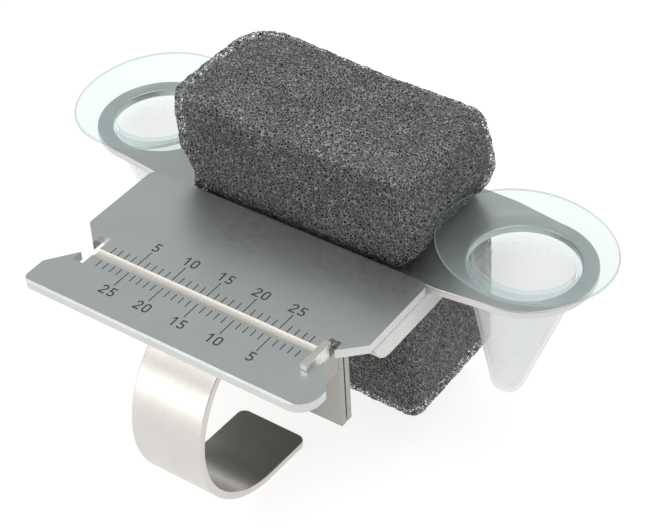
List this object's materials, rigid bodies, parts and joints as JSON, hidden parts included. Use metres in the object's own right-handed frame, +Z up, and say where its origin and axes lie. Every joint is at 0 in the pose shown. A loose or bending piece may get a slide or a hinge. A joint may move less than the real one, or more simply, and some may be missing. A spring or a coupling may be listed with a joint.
{
  "type": "finger-worn endodontic measuring ruler",
  "caption": "Steel measuring ruler worn on a finger band, with a groove and end stop for files, a foam file holder and two conical cups in ring ends.",
  "frame": {"origin": "middle of the measuring groove, in the plane of the ruler's top face", "axes": "+X along the ruler towards the end stop, +Y from the groove to the foam, +Z up out of the ruler's top face"},
  "size_m": [0.0741, 0.0455, 0.0409],
  "materials": {
    "steel_ruler": "satin",
    "steel_sheet": "satin",
    "steel_band": "fine brushed",
    "steel_stop": "polished",
    "foam": "open-cell foam",
    "clear_cup": "clear"
  },
  "bodies": {
    "frame": {"ruler_plate": "steel_ruler", "under_bracket": "steel_sheet", "cup_carrier": "steel_sheet", "finger_band": "steel_band"},
    "stop": {"end_stop": "steel_stop"},
    "foam": {"foam_insert": "foam"},
    "cup_l": {"cup_left": "clear_cup"},
    "cup_r": {"cup_right": "clear_cup"}
  },
  "joints": [
    {"name": "stop_slide", "type": "slide", "parent": "frame", "child": "stop", "axis": [1, 0, 0], "range_m": [0, 0.014]},
    {"name": "foam_slide", "type": "slide", "parent": "frame", "child": "foam", "axis": [0, 0, 1], "range_m": [0, 0.028]},
    {"name": "cup_left_lift", "type": "slide", "parent": "frame", "child": "cup_l", "axis": [-0.0767, 0, 0.9971], "range_m": [0, 0.024]},
    {"name": "cup_right_lift", "type": "slide", "parent": "frame", "child": "cup_r", "axis": [0.0767, 0, 0.9971], "range_m": [0, 0.024]}
  ]
}
